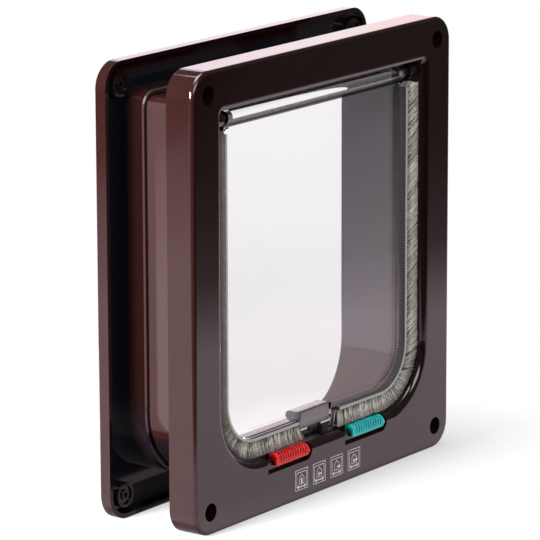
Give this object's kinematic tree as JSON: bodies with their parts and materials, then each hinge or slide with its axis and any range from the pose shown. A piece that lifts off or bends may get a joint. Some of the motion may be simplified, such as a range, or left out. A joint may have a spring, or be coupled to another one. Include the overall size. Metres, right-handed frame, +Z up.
{
  "type": "cat flap",
  "caption": "Brown cat flap for a house door: front and back frames on a telescoping tunnel, a clear swinging flap with a brush edge, and coloured lock sliders in the sill.",
  "frame": {"origin": "middle of the object's foot, on the surface that both frames stand on", "axes": "+X to the right seen from the front, +Y from the front face to the back, +Z up"},
  "size_m": [0.193, 0.052, 0.2],
  "materials": {
    "brown_plastic": "glossy dark red-brown moulding",
    "clear_plastic": "clear polished moulding",
    "brush_backing": "pale woven strip",
    "brush_pile": "grey bristle pile",
    "red_plastic": "satin red moulding",
    "teal_plastic": "satin green moulding",
    "black_plastic": "plain dark moulding",
    "pin_steel": "plain bright pin"
  },
  "bodies": {
    "frame": {"front_frame": "brown_plastic", "hinge_pin_left": "pin_steel", "hinge_pin_right": "pin_steel"},
    "back": {"back_frame": "brown_plastic"},
    "flap": {"flap_tray": "clear_plastic", "flap_catch": "clear_plastic", "brush_backing_left": "brush_backing", "brush_backing_right": "brush_backing", "brush_pile_left": "brush_pile", "brush_pile_right": "brush_pile"},
    "red_lock": {"red_slider": "red_plastic", "red_lock_bar": "black_plastic"},
    "green_lock": {"green_slider": "teal_plastic", "green_lock_bar": "black_plastic"}
  },
  "joints": [
    {"name": "flap_swing", "type": "hinge", "parent": "frame", "child": "flap", "pos_m": [0, -0.019, 0.1767], "axis": [1, 0, 0], "range_deg": [-85, 85]},
    {"name": "red_slide", "type": "slide", "parent": "frame", "child": "red_lock", "axis": [1, 0, 0], "range_m": [-0.0055, 0]},
    {"name": "green_slide", "type": "slide", "parent": "frame", "child": "green_lock", "axis": [1, 0, 0], "range_m": [-0.0055, 0]},
    {"name": "back_slide", "type": "slide", "parent": "frame", "child": "back", "axis": [0, 1, 0], "range_m": [-0.021, 0.005]}
  ]
}
